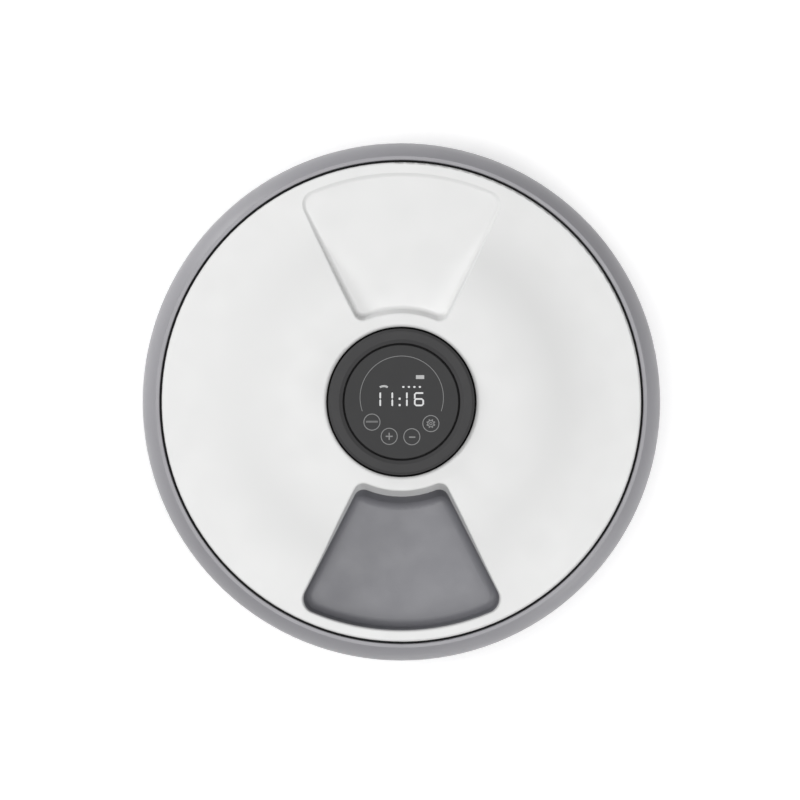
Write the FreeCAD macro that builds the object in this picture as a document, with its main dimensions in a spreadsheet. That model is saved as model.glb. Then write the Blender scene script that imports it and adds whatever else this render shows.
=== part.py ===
"""Six-meal carousel pet feeder: a round base, a turning tray of six wells and a lid with one opening.

The tray turns on a column in the middle of the base. A geared motor inside the column drives it through
two open gear stages and a ring gear. The lid rests on a seal in the rim of the base and is held down by a
ring around the control panel, whose three hooks turn under the shoulder of the hub.
Millimetres, +Z up, front (the serving opening) towards -Y, origin at the middle of the floor contact.
"""

import FreeCAD, Part

import math
import os
import re

import Sketcher

# ------------------------------------------------------------------ driving dimensions (mm, degrees, counts)

SIZES = {
    # base housing
    "base_radius": 160.0,
    "widest_height": 50.0,
    "rim_height": 66.0,
    "rim_inner_radius": 149.1,
    "rim_band_radius": 151.4,
    "skin": 2.5,
    "underside_height": 2.0,
    "bottom_edge_radius": 150.0,
    "ledge_height": 59.0,
    "ledge_thickness": 2.4,
    "well_radius": 144.6,
    "wall": 2.4,
    "deck_top": 27.0,
    "column_radius": 32.0,
    "column_top": 54.0,
    "collar_radius": 33.4,
    "collar_top": 36.1,
    # bottom cover and feet
    "cover_radius": 146.9,
    "cover_top": 4.4,
    "cover_boss_top": 7.0,
    "cover_screw_circle": 137.0,
    "foot_radius": 8.0,
    "foot_circle": 132.0,
    "foot_top": 3.2,
    # battery bay, cells lying along Y
    "bay_front": 54.0,
    "bay_back": 116.0,
    "bay_half_width": 33.0,
    "bay_roof": 20.2,
    "bay_wall": 1.6,
    "cell_radius": 7.25,
    "cell_length": 50.5,
    "cell_pitch": 15.0,
    "cell_axis_height": 12.4,
    "spring_length": 5.9,
    "partition_front": 111.6,
    "partition_thickness": 1.4,
    "door_front": 57.3,
    "door_back": 115.6,
    "door_half_width": 32.7,
    "door_top": 4.0,
    "door_axis_y": 58.5,
    "door_axis_height": 3.2,
    "door_pin_radius": 0.9,
    # lid
    "lid_radius": 147.7,
    "lid_wall": 2.4,
    "lid_plateau_height": 74.0,
    "lid_plateau_radius": 62.0,
    "lid_slope_radius": 99.0,
    "lid_slope_height": 70.0,
    "lid_flat_radius": 136.0,
    "lid_flat_height": 66.0,
    "lid_skirt_bottom": 60.7,
    "seal_top": 60.4,
    "lid_hole_radius": 46.0,
    "lid_hole_round": 2.2,
    "lid_flange_radius": 42.6,
    "lid_flange_outer": 50.0,
    "lid_flange_top": 71.7,
    "lid_flange_bottom": 69.6,
    "lid_edge_round": 1.3,
    "peg_circle": 146.5,
    # serving opening and the matching recess in the lid
    "opening_half_angle": 27.1,
    "opening_side_shift": 1.3,
    "opening_inner_radius": 54.6,
    "opening_outer_radius": 142.5,
    "opening_corner_outer": 9.0,
    "opening_corner_inner": 6.0,
    "opening_inner_flare": 0.33,
    "opening_side_flare": 0.16,
    "opening_frame": 2.2,
    "opening_frame_bottom": 62.5,
    "recess_floor": 65.0,
    "opening_edge_round": 1.1,
    "recess_floor_round": 2.6,
    # lock ring and its retainer
    "ring_inner_radius": 36.2,
    "ring_outer_radius": 45.0,
    "ring_top": 78.0,
    "ring_bottom": 71.8,
    "ring_skirt_radius": 45.7,
    "ring_skirt_top": 72.9,
    "ring_sleeve_radius": 42.3,
    "ring_sleeve_inner": 38.4,
    "ring_sleeve_bottom": 69.4,
    "retainer_radius": 46.6,
    "retainer_bottom": 67.3,
    "hook_inner_radius": 39.4,
    "hook_outer_radius": 41.2,
    "hook_toe_radius": 37.0,
    "hook_bottom": 61.0,
    "hook_toe_top": 62.8,
    # hub and control panel
    "hub_radius": 44.4,
    "hub_wall": 2.2,
    "hub_floor": 2.4,
    "hub_cable_hole": 11.0,
    "shoulder_bottom": 63.1,
    "shoulder_top": 65.5,
    "panel_tube_radius": 34.6,
    "panel_tube_wall": 2.0,
    "panel_radius": 35.0,
    "panel_bottom": 75.0,
    "panel_top": 77.0,
    "board_height": 68.0,
    "board_thickness": 1.6,
    "board_radius": 31.0,
    # tray
    "tray_radius": 143.4,
    "tray_top": 61.5,
    "tray_plate": 2.2,
    "tray_floor": 33.0,
    "tray_wall": 2.0,
    "tray_hole_radius": 46.0,
    "tray_bottom": 38.4,
    "meals": 6,
    "meal_half_angle": 27.2,
    "meal_side_shift": 0.0,
    "meal_inner_radius": 56.6,
    "meal_outer_radius": 141.3,
    "meal_inner_flare": 0.235,
    "meal_side_flare": 0.06,
    "meal_floor_round": 5.0,
    "track_bottom": 29.8,
    "track_inner": 112.0,
    "track_outer": 124.0,
    # turntable
    "turntable_bottom": 28.0,
    "turntable_web": 36.2,
    "turntable_rim": 56.5,
    "sleeve_bore": 32.08,
    "sleeve_radius": 35.0,
    "sleeve_top": 46.0,
    # gear train
    "ring_teeth": 84,
    "drive_teeth": 14,
    "drive_module": 1.25,
    "output_teeth": 34,
    "idler_small_teeth": 14,
    "output_module": 1.0,
    "idler_large_teeth": 36,
    "motor_teeth": 12,
    "motor_module": 0.8,
    "motor_offset": 4.0,
    "shaft_radius": 2.5,
    "idler_pin_radius": 1.5,
    "plate_low": 6.6,
    "plate_low_top": 8.6,
    "plate_high": 19.6,
    "plate_high_top": 22.0,
    "motor_radius": 12.2,
    # rollers under the tray
    "rollers": 4,
    "roller_circle": 118.0,
    "roller_radius": 4.5,
    "roller_height": 25.0,
    "roller_width": 7.0,
    "roller_pin_radius": 1.25,
    "roller_pin_length": 15.0,
    # power inlet
    "inlet_height": 12.6,
    "inlet_half_width": 4.5,
    "inlet_half_height": 1.6,
    "inlet_face": 153.2,
    "inlet_depth": 7.4,
    "board_post_height": 9.4,
}

doc = FreeCAD.newDocument("pet_feeder")
sheet = doc.addObject("Spreadsheet::Sheet", "Sizes")
for row, (alias, number) in enumerate(SIZES.items(), 1):
    sheet.set(f"A{row}", alias)
    sheet.set(f"B{row}", str(number))
    sheet.setAlias(f"B{row}", alias)
doc.recompute()

sub_parts = []  # every object that becomes a file, in the order made


# ------------------------------------------------------------------ expressions on the sheet


def linked(text):
    """The expression with each size's name pointing at its cell."""
    return re.sub(r"[a-z_]+", lambda m: f"Sizes.{m[0]}" if m[0] in SIZES else m[0], str(text))


def amount(text):
    """The value of an expression now."""
    return float(sheet.evalExpression(linked(text)))


def bind(obj, name, text):
    """Sets one property of an object to an expression on the sheet."""
    obj.setExpression(name, linked(text))


def vector(x, y, z=0.0):
    return FreeCAD.Vector(amount(x), amount(y), amount(z))


def polar(radius, degrees, z=0.0):
    """The point at a radius and an angle about Z."""
    turn = math.radians(degrees)
    return FreeCAD.Vector(amount(radius) * math.cos(turn), amount(radius) * math.sin(turn), amount(z))


# ------------------------------------------------------------------ outlines
# A corner is (x, y) or (x, y, radius): the radius makes the edge that leaves the corner an arc, positive
# when it turns left on its way and negative when it turns right.


def arc_centre(start, end, radius):
    """The centre of the shorter arc of that signed radius from start to end."""
    along = end - start
    left = FreeCAD.Vector(-along.y, along.x, 0).normalize()
    reach = math.sqrt(max(radius * radius - along.Length**2 / 4, 0.0))
    return (start + end) / 2 + left * math.copysign(reach, radius)


def edges_of(corners):
    """(start, end, signed radius or None) for each edge of a closed outline."""
    points = [vector(c[0], c[1]) for c in corners]
    for number, corner in enumerate(corners):
        radius = amount(corner[2]) if len(corner) > 2 else None
        yield points[number], points[(number + 1) % len(points)], radius


def draw_outline(sketch, corners):
    """Adds a closed outline whose corners and radii are expressions."""
    ends = []
    for start, end, radius in edges_of(corners):
        if radius is None:
            ends.append((sketch.addGeometry(Part.LineSegment(start, end), False), 1, 2))
            continue
        centre = arc_centre(start, end, radius)
        first, last = (start, end) if radius > 0 else (end, start)
        low, high = (math.atan2(p.y - centre.y, p.x - centre.x) for p in (first, last))
        circle = Part.Circle(centre, FreeCAD.Vector(0, 0, 1), abs(radius))
        high += 2 * math.pi if high < low else 0
        geometry = sketch.addGeometry(Part.ArcOfCircle(circle, low, high), False)
        ends.append((geometry, 1, 2) if radius > 0 else (geometry, 2, 1))
    for number, (geometry, start_point, end_point) in enumerate(ends):
        following, following_start, _ = ends[(number + 1) % len(ends)]
        sketch.addConstraint(
            Sketcher.Constraint("Coincident", geometry, end_point, following, following_start)
        )
        corner = corners[number]
        hold_point(sketch, geometry, start_point, corner[0], corner[1])
        if len(corner) > 2:
            size = Sketcher.Constraint("Radius", geometry, abs(amount(corner[2])))
            bind(sketch, f"Constraints[{sketch.addConstraint(size)}]", f"abs({corner[2]})")


def hold_point(sketch, geometry, point, x, y):
    """Places one point of a sketch's geometry by two expressions."""
    for kind, text in (("DistanceX", x), ("DistanceY", y)):
        distance = Sketcher.Constraint(kind, -1, 1, geometry, point, amount(text))
        bind(sketch, f"Constraints[{sketch.addConstraint(distance)}]", text)


def draw_circle(sketch, x, y, radius):
    circle = Part.Circle(vector(x, y), FreeCAD.Vector(0, 0, 1), amount(radius))
    geometry = sketch.addGeometry(circle, False)
    hold_point(sketch, geometry, 3, x, y)
    size = Sketcher.Constraint("Radius", geometry, amount(radius))
    bind(sketch, f"Constraints[{sketch.addConstraint(size)}]", radius)


def oblong(x0, y0, x1, y1):
    """The four corners of a rectangle."""
    return [(x0, y0), (x1, y0), (x1, y1), (x0, y1)]


def rounded(x0, y0, x1, y1, radius):
    """A rectangle with round corners."""
    return [
        (f"{x0} + {radius}", y0),
        (f"{x1} - {radius}", y0, radius),
        (x1, f"{y0} + {radius}"),
        (x1, f"{y1} - {radius}", radius),
        (f"{x1} - {radius}", y1),
        (f"{x0} + {radius}", y1, radius),
        (x0, f"{y1} - {radius}"),
        (x0, f"{y0} + {radius}", radius),
    ]


def wire_of(corners, plane="XY"):
    """A closed wire on the XY plane, or on the XZ plane for turning about Z."""
    shapes = []
    for start, end, radius in edges_of(corners):
        if radius is None:
            shapes.append(Part.LineSegment(start, end).toShape())
        else:
            centre = arc_centre(start, end, radius)
            middle = centre + ((start + end) / 2 - centre).normalize() * abs(radius)
            shapes.append(Part.Arc(start, middle, end).toShape())
    wire = Part.Wire(shapes)
    if plane == "XZ":
        wire.rotate(FreeCAD.Vector(), FreeCAD.Vector(1, 0, 0), 90)
    return wire


def spun(corners):
    """The solid that a profile in (radius, height) makes when it turns about Z."""
    return Part.Face(wire_of(corners, "XZ")).revolve(FreeCAD.Vector(), FreeCAD.Vector(0, 0, 1), 360)


def standing(corners, bottom, top):
    """The prism over an outline between two heights."""
    face = Part.Face(wire_of(corners))
    face.translate(FreeCAD.Vector(0, 0, amount(bottom)))
    return face.extrude(FreeCAD.Vector(0, 0, amount(top) - amount(bottom)))


def pipe(inner, outer, bottom, top, start=0.0, sweep=360.0):
    """A ring, or a sector of one, centred on an angle when the sweep is under a full turn."""
    height = amount(top) - amount(bottom)
    base = FreeCAD.Vector(0, 0, amount(bottom))
    up = FreeCAD.Vector(0, 0, 1)
    ring = Part.makeCylinder(amount(outer), height, base, up, sweep)
    ring = ring.cut(Part.makeCylinder(amount(inner), height, base, up, sweep))
    ring.rotate(FreeCAD.Vector(), up, start)
    return ring


# ------------------------------------------------------------------ ways to make a sub-part


class Body:
    """A PartDesign body that is made one feature at a time."""

    def __init__(self, label):
        self.body = doc.addObject("PartDesign::Body", label)
        self.body.Label = label
        sub_parts.append(self.body)

    def origin(self, role):
        return next(f for f in self.body.Origin.OriginFeatures if f.Role == role)

    def sketch(self, role, outlines, offset="0"):
        """A sketch on an origin plane; an outline is a list of corners or one (x, y, radius) circle."""
        sketch = self.body.newObject("Sketcher::SketchObject", "Sketch")
        sketch.AttachmentSupport = (self.origin(role), [""])
        sketch.MapMode = "FlatFace"
        bind(sketch, ".AttachmentOffset.Base.z", offset)
        for outline in outlines:
            if isinstance(outline, tuple):
                draw_circle(sketch, *outline)
            else:
                draw_outline(sketch, outline)
        return sketch

    def feature(self, kind, sketch, name):
        made = self.body.newObject(f"PartDesign::{kind}", name)
        made.Profile = sketch
        return made

    def turn(self, corners, name="Turned"):
        """Turns a profile in (radius, height) about Z."""
        sketch = self.sketch("XZ_Plane", [corners])
        made = self.feature("Revolution", sketch, name)
        made.ReferenceAxis = (sketch, ["V_Axis"])
        made.Angle = 360
        return made

    def pad(self, outlines, bottom, top, name="Pad"):
        made = self.feature("Pad", self.sketch("XY_Plane", outlines, bottom), name)
        bind(made, "Length", f"{top} - ({bottom})")
        return made

    def pocket(self, outlines, bottom, top, name="Pocket"):
        """Cuts from the upper height down to the lower one."""
        made = self.feature("Pocket", self.sketch("XY_Plane", outlines, top), name)
        bind(made, "Length", f"{top} - ({bottom})")
        return made

    def pocket_along(self, role, outlines, start, length, name="SideCut"):
        """Cuts along Y (role XZ_Plane, towards +Y) or along X (role YZ_Plane, towards +X)."""
        offset = f"-({start})" if role == "XZ_Plane" else start
        made = self.feature("Pocket", self.sketch(role, outlines, offset), name)
        made.Reversed = role == "YZ_Plane"
        bind(made, "Length", length)
        return made

    def around(self, features, count, name="Around"):
        """Repeats features evenly about Z."""
        made = self.body.newObject("PartDesign::PolarPattern", name)
        made.Originals = features
        made.Axis = (self.origin("Z_Axis"), [""])
        made.Angle = 360
        bind(made, "Occurrences", count)
        self.body.Tip = made
        return made

    def round_circles(self, circles, radius, name="Round"):
        """Rounds the circular edges about Z found at each (radius, height)."""
        doc.recompute()
        rounded_feature = self.body.Tip
        chosen = []
        for number, edge in enumerate(rounded_feature.Shape.Edges, 1):
            if not isinstance(edge.Curve, Part.Circle):
                continue
            for wanted, height in circles:
                close = abs(edge.Curve.Radius - amount(wanted)) < 0.05
                if close and abs(edge.Curve.Center.z - amount(height)) < 0.05:
                    chosen.append(f"Edge{number}")
        made = self.body.newObject("PartDesign::Fillet", name)
        made.Base = (rounded_feature, chosen)
        bind(made, "Radius", radius)
        return made


def sub_part(label, shape, placement=None):
    """A sub-part whose shape Part's own functions made from the sheet's sizes."""
    made = doc.addObject("Part::Feature", label)
    made.Label = label
    made.Shape = shape.removeSplitter()
    if placement:
        made.Placement = placement
    sub_parts.append(made)
    return made


def place(obj, x, y, z):
    for axis, text in (("x", x), ("y", y), ("z", z)):
        bind(obj, f"Placement.Base.{axis}", text)


def box(label, x, y, z, length, width, height):
    """A Part::Box from its lowest corner."""
    made = doc.addObject("Part::Box", label)
    for name, text in (("Length", length), ("Width", width), ("Height", height)):
        bind(made, name, text)
    place(made, x, y, z)
    return made


def rod(label, x, y, z, radius, height):
    """A Part::Cylinder along Z from the centre of its lower face."""
    made = doc.addObject("Part::Cylinder", label)
    bind(made, "Radius", radius)
    bind(made, "Height", height)
    place(made, x, y, z)
    return made


def combined(kind, label, shapes):
    """A Part::MultiFuse or Part::Compound of objects."""
    made = doc.addObject(f"Part::{kind}", label)
    if kind == "MultiFuse":
        made.Shapes = shapes
    else:
        made.Links = shapes
    return made


def less(label, base, tool):
    made = doc.addObject("Part::Cut", label)
    made.Base = base
    made.Tool = tool
    return made


def finished(obj, label):
    """Marks an object as a sub-part and gives it the sub-part's name."""
    obj.Label = label
    sub_parts.append(obj)
    return obj


def screw(head_radius, head_height, shank_radius, shank_length):
    """A cross-head screw, its head's seat at the origin and its shank down -Z."""
    head = Part.makeCylinder(head_radius, head_height)
    head = head.makeFillet(head_height * 0.35, [e for e in head.Edges if e.BoundBox.ZMin > head_height / 2])
    shank = Part.makeCylinder(shank_radius, shank_length, FreeCAD.Vector(0, 0, -shank_length))
    whole = head.fuse(shank).removeSplitter()
    slot_length, slot_width, slot_depth = head_radius * 1.2, head_radius * 0.26, head_height * 0.6
    for turn in (0, 90):
        slot = Part.makeBox(slot_length, slot_width, slot_depth + 1)
        slot.translate(FreeCAD.Vector(-slot_length / 2, -slot_width / 2, head_height - slot_depth))
        slot.rotate(FreeCAD.Vector(), FreeCAD.Vector(0, 0, 1), turn)
        whole = whole.cut(slot)
    return whole


def screws(label, points, sizes, from_below=False):
    """One node of identical screws, each a separate solid with its head's seat at a point."""
    copies = []
    for point in points:
        one = screw(*sizes)
        if from_below:
            one.rotate(FreeCAD.Vector(), FreeCAD.Vector(1, 0, 0), 180)
        one.translate(point)
        copies.append(one)
    made = doc.addObject("Part::Feature", label)
    made.Label = label
    made.Shape = Part.makeCompound(copies)
    sub_parts.append(made)


# ------------------------------------------------------------------ gears

PRESSURE_ANGLE = math.radians(20)
ADDENDUM = 0.9
DEDENDUM = 1.2


def involute(angle):
    return math.tan(angle) - angle


def gear_outline(teeth, module, tip, root, extra, phase):
    """The outline of an involute gear with a tooth centred on phase (degrees).

    tip and root are how far the teeth reach beyond and below the pitch circle, in modules. extra widens
    each tooth along the pitch circle, in millimetres, and is negative where backlash is taken from it.
    """
    pitch = module * teeth / 2
    base = pitch * math.cos(PRESSURE_ANGLE)
    inner, outer = pitch - root * module, pitch + tip * module
    low = max(inner, base)
    flank = [low + (outer - low) * share for share in (0.0, 0.35, 0.7, 1.0)]
    half_at_pitch = math.pi / (2 * teeth) + extra / (2 * pitch) + involute(PRESSURE_ANGLE)
    half = [half_at_pitch - involute(math.acos(min(1.0, base / r))) for r in flank]
    side = list(zip(flank, half))
    if inner < low - 0.01:
        side.insert(0, (inner, side[0][1]))
    points = []
    for tooth in range(teeth):
        middle = math.radians(phase) + 2 * math.pi * tooth / teeth
        for radius, angle in side:
            points.append((radius, middle - angle))
        for radius, angle in reversed(side):
            points.append((radius, middle + angle))
    corners = [FreeCAD.Vector(r * math.cos(a), r * math.sin(a), 0) for r, a in points]
    return Part.makePolygon(corners + corners[:1])


def gear_solid(outline, bottom, top):
    face = Part.Face(outline)
    face.translate(FreeCAD.Vector(0, 0, bottom))
    return face.extrude(FreeCAD.Vector(0, 0, top - bottom))


def spur_gear(teeth, module, bottom, top, bore, phase, backlash):
    """A spur gear on the origin's axis with a plain bore."""
    outline = gear_outline(teeth, module, ADDENDUM, DEDENDUM, -backlash, phase)
    solid = gear_solid(outline, bottom, top)
    return solid.cut(Part.makeCylinder(bore, top - bottom, FreeCAD.Vector(0, 0, bottom)))


ring_pitch = amount("ring_teeth * drive_module / 2")
drive_pitch = amount("drive_teeth * drive_module / 2")
output_axis = FreeCAD.Vector(0, drive_pitch - ring_pitch, 0)
motor_axis = FreeCAD.Vector(0, -amount("motor_offset"), 0)
motor_to_idler = amount("(motor_teeth + idler_large_teeth) * motor_module / 2")
idler_to_output = amount("(output_teeth + idler_small_teeth) * output_module / 2")


def idler_centre():
    """Where the idler's axis lies so that it meshes with both the motor pinion and the output gear."""
    apart = (output_axis - motor_axis).Length
    along = (motor_to_idler**2 - idler_to_output**2 + apart**2) / (2 * apart)
    across = math.sqrt(motor_to_idler**2 - along**2)
    return motor_axis + FreeCAD.Vector(across, -along, 0)


idler_axis = idler_centre()


def heading(start, end):
    """The direction from one axis to another, in degrees."""
    return math.degrees(math.atan2(end.y - start.y, end.x - start.x))


# ------------------------------------------------------------------ the serving opening's outline


def sector_outline(inner, outer, half_angle, shift, corner_inner, corner_outer):
    """A sector towards -Y between two radii with round corners.

    Its sides lie parallel to the radial lines at the half angle, moved outwards by shift.
    """
    turn = math.radians(half_angle)
    along = FreeCAD.Vector(math.sin(turn), -math.cos(turn), 0)
    out = FreeCAD.Vector(math.cos(turn), math.sin(turn), 0)

    def corner(centre_distance, round_radius, arc_radius):
        inset = shift - round_radius
        centre = out * inset + along * math.sqrt(centre_distance**2 - inset**2)
        return centre, centre + out * round_radius, centre * (arc_radius / centre_distance)

    outer_centre, outer_side, outer_end = corner(outer - corner_outer, corner_outer, outer)
    inner_centre, inner_side, inner_end = corner(inner + corner_inner, corner_inner, inner)

    def mirror(point):
        return FreeCAD.Vector(-point.x, point.y, 0)

    def arc(start, centre, end, radius):
        middle = centre + ((start + end) / 2 - centre).normalize() * radius
        return Part.Arc(start, middle, end).toShape()

    middle = FreeCAD.Vector()
    return Part.Wire(
        [
            arc(mirror(outer_end), middle, outer_end, outer),
            arc(outer_end, outer_centre, outer_side, corner_outer),
            Part.LineSegment(outer_side, inner_side).toShape(),
            arc(inner_side, inner_centre, inner_end, corner_inner),
            arc(inner_end, middle, mirror(inner_end), inner),
            arc(mirror(inner_end), mirror(inner_centre), mirror(inner_side), corner_inner),
            Part.LineSegment(mirror(inner_side), mirror(outer_side)).toShape(),
            arc(mirror(outer_side), mirror(outer_centre), mirror(outer_end), corner_outer),
        ]
    )


def sector_block(bottom, top, level, kind, grow=0.0):
    """The flared block of an opening in the lid or of a meal well in the tray.

    It has its stated size at the height called level, and narrows downwards by the flares. grow moves
    every wall outwards, for the frame or cup around it.
    """
    inner, outer = amount(f"{kind}_inner_radius"), amount(f"{kind}_outer_radius")
    half_angle, side_shift = amount(f"{kind}_half_angle"), amount(f"{kind}_side_shift")
    inner_flare, side_flare = amount(f"{kind}_inner_flare"), amount(f"{kind}_side_flare")
    wires = []
    for height in (bottom, top):
        drop = level - height
        wire = sector_outline(
            inner + drop * inner_flare - grow,
            outer - drop * side_flare + grow,
            half_angle,
            side_shift + grow - drop * side_flare,
            amount("opening_corner_inner") + grow,
            amount("opening_corner_outer") + grow,
        )
        wire.translate(FreeCAD.Vector(0, 0, height))
        wires.append(wire)
    return Part.makeLoft(wires, True, True)


def edges_at_height(shape, height, tolerance=0.01):
    """The edges that lie wholly at one height."""
    found = []
    for edge in shape.Edges:
        if abs(edge.BoundBox.ZMin - height) < tolerance and abs(edge.BoundBox.ZMax - height) < tolerance:
            found.append(edge)
    return found


def all_round(shape, count, offset=0.0):
    """Copies of a shape evenly about Z."""
    copies = []
    for number in range(count):
        one = shape.copy()
        one.rotate(FreeCAD.Vector(), FreeCAD.Vector(0, 0, 1), offset + 360.0 * number / count)
        copies.append(one)
    return copies


# ------------------------------------------------------------------ base housing

RIM_BEND = (
    "((base_radius - rim_band_radius)^2 + (rim_height - widest_height)^2)"
    " / (2 * (base_radius - rim_band_radius))"
)
SIDE_BEND = (
    "((base_radius - bottom_edge_radius)^2 + (widest_height - underside_height)^2)"
    " / (2 * (base_radius - bottom_edge_radius))"
)
RIM_ROOT = "rim_band_radius + 0.1"
DECK_UNDERSIDE = "deck_top - wall"
GEARBOX_POSTS = [("33", "10"), ("-33", "10"), ("33", "-62"), ("-33", "-62")]
HUB_SCREW_ANGLES = (90, 210, 330)
BOARD_POST_ANGLES = (30, 150, 270)
HUB_SCREW_CIRCLE = 26.6
BOARD_POST_CIRCLE = 26.0
COVER_SCREW_ANGLES = (0, 60, 120, 180, 240, 300)
ROLLER_ANGLES = (45, 135, 225, 315)


def base_housing():
    """The outer shell: rim with the lid's ledge, side skin, well, deck and bearing column."""
    inner_bottom = (
        f"base_radius - ({SIDE_BEND}) + sqrt((({SIDE_BEND}) - skin)^2"
        " - (widest_height - underside_height)^2)"
    )
    inner_rim = (
        f"widest_height + sqrt((({RIM_BEND}) - skin)^2 - ({RIM_ROOT} - base_radius + ({RIM_BEND}))^2)"
    )
    base = Body("base_housing")
    base.turn(
        [
            ("rim_inner_radius", "rim_height"),
            ("rim_band_radius", "rim_height", f"-({RIM_BEND})"),
            ("base_radius", "widest_height", f"-({SIDE_BEND})"),
            ("bottom_edge_radius", "underside_height"),
            (inner_bottom, "underside_height", f"({SIDE_BEND}) - skin"),
            ("base_radius - skin", "widest_height", f"({RIM_BEND}) - skin"),
            (RIM_ROOT, inner_rim),
            (RIM_ROOT, "ledge_height - ledge_thickness"),
            ("well_radius + wall", "ledge_height - ledge_thickness"),
            ("well_radius + wall", DECK_UNDERSIDE),
            ("column_radius - wall", DECK_UNDERSIDE),
            ("column_radius - wall", "column_top"),
            ("column_radius", "column_top"),
            ("column_radius", "collar_top"),
            ("collar_radius", "collar_top"),
            ("collar_radius", "deck_top"),
            ("well_radius", "deck_top"),
            ("well_radius", "ledge_height"),
            ("rim_inner_radius", "ledge_height"),
        ],
        "Shell",
    )
    rib = base.pad([oblong("76", "-1", "well_radius + 1", "1")], "22", DECK_UNDERSIDE, "Rib")
    base.around([rib], "12", "Ribs")
    boss = base.pad([("cover_screw_circle", "0", "4")], "cover_boss_top", DECK_UNDERSIDE, "CoverBoss")
    bore = base.pocket([("cover_screw_circle", "0", "1.3")], "cover_boss_top", "21", "CoverPilot")
    base.around([boss, bore], "6", "CoverBosses")
    posts = [(x, y, "4.2") for x, y in GEARBOX_POSTS]
    base.pad(posts, "plate_high_top", DECK_UNDERSIDE, "GearboxBosses")
    pilots = [(x, y, "1.3") for x, y in GEARBOX_POSTS]
    base.pocket(pilots, "plate_high_top", "deck_top - 0.8", "GearboxPilots")
    hub_boss = base.pad([("0", f"{HUB_SCREW_CIRCLE}", "3.2")], "column_top - 12", "column_top", "HubBoss")
    hub_pilot = base.pocket(
        [("0", f"{HUB_SCREW_CIRCLE}", "1.3")], "column_top - 10", "column_top", "HubPilot"
    )
    base.around([hub_boss, hub_pilot], "3", "HubBosses")
    base.pocket([("0", str(output_axis.y), "4")], DECK_UNDERSIDE, "deck_top", "OutputBushHole")
    roller_seats(base)
    peg = base.pocket([("0", "peg_circle", "1.4")], "ledge_height - 2", "ledge_height", "PegHole")
    base.around([peg], "3", "PegHoles")
    inlet = rounded(
        "-inlet_half_width - 0.4",
        "inlet_height - inlet_half_height - 0.4",
        "inlet_half_width + 0.4",
        "inlet_height + inlet_half_height + 0.4",
        "1.9",
    )
    base.pocket_along("XZ_Plane", [inlet], "inlet_face - 5", "12", "InletHole")
    base.round_circles(
        [("rim_inner_radius", "rim_height"), ("bottom_edge_radius", "underside_height")], "0.5"
    )
    return base


def roller_seats(base):
    """Closed pockets in the deck for the tray's rollers, with open channels for their pins."""
    middle = "roller_circle / sqrt(2)"
    pads, wells, channels = [], [], []
    for degrees in ROLLER_ANGLES:
        along = (math.cos(math.radians(degrees)), math.sin(math.radians(degrees)))
        across = (-along[1], along[0])
        centre_x = f"{math.copysign(1, along[0]):.0f} * {middle}"
        centre_y = f"{math.copysign(1, along[1]):.0f} * {middle}"

        def turned(half_length, half_width, x=centre_x, y=centre_y, a=along, c=across):
            corners = []
            for s, t in ((-1, -1), (1, -1), (1, 1), (-1, 1)):
                length, width = f"({s} * ({half_length}))", f"({t} * ({half_width}))"
                corners.append(
                    (
                        f"{x} + {length} * {a[0]:.8f} + {width} * {c[0]:.8f}",
                        f"{y} + {length} * {a[1]:.8f} + {width} * {c[1]:.8f}",
                    )
                )
            return corners

        pads.append(turned("roller_pin_length / 2 + 2", "roller_radius + 2.4"))
        wells.append(turned("roller_width / 2 + 0.5", "roller_radius + 0.6"))
        channels.append(turned("roller_pin_length / 2 + 0.2", "roller_pin_radius + 0.03"))
    low = "roller_height - roller_radius"
    base.pad(pads, f"{low} - 2.2", DECK_UNDERSIDE, "RollerPads")
    base.pocket(wells, f"{low} - 0.5", "deck_top", "RollerWells")
    base.pocket(channels, "roller_height - roller_pin_radius", "deck_top", "PinChannels")


# ------------------------------------------------------------------ bottom cover, feet and battery bay


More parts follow.
